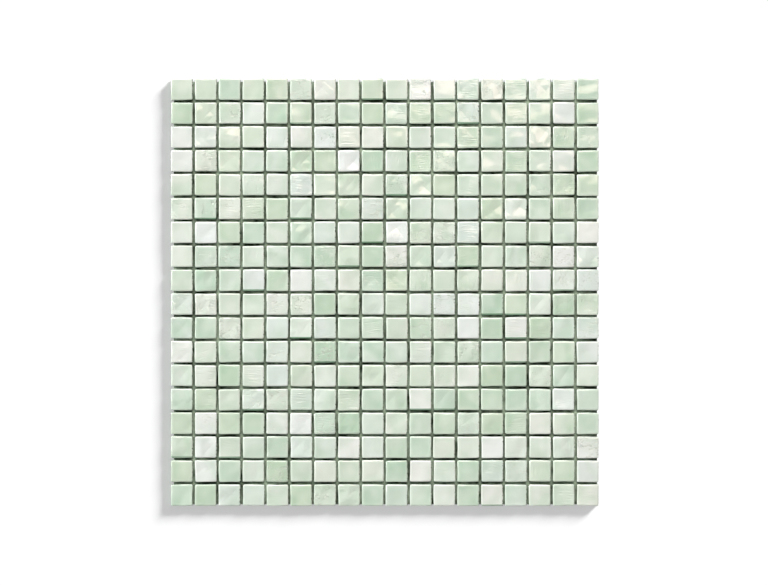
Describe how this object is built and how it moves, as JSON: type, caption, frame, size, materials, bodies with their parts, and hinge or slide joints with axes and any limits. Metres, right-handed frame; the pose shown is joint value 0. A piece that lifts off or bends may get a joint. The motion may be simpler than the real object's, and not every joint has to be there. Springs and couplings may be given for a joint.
{
  "type": "mosaic tile sheet",
  "caption": "Square sheet of small square glass tiles with cushioned edges, set in a straight grid and glued face up on a thin backing net.",
  "frame": {"origin": "centre of the sheet's back, in the plane of the back of the net", "axes": "+Z out of the tiled face, +Y up the sheet as the picture shows it, +X to its right"},
  "size_m": [0.2956, 0.2956, 0.0045],
  "materials": {
    "backing_net": "glass-fibre net bedded in dried adhesive",
    "pearl_glass": "glossy opalescent, white with a breath of green",
    "mist_glass": "glossy opalescent, misty green white",
    "celadon_glass": "glossy opalescent, pale celadon",
    "mint_glass": "glossy opalescent, pale mint",
    "jade_glass": "glossy opalescent, light jade green"
  },
  "bodies": {
    "root": {"backing_net": "backing_net", "pearl_tiles": "pearl_glass", "mist_tiles": "mist_glass", "celadon_tiles": "celadon_glass", "mint_tiles": "mint_glass", "jade_tiles": "jade_glass"}
  },
  "joints": []
}
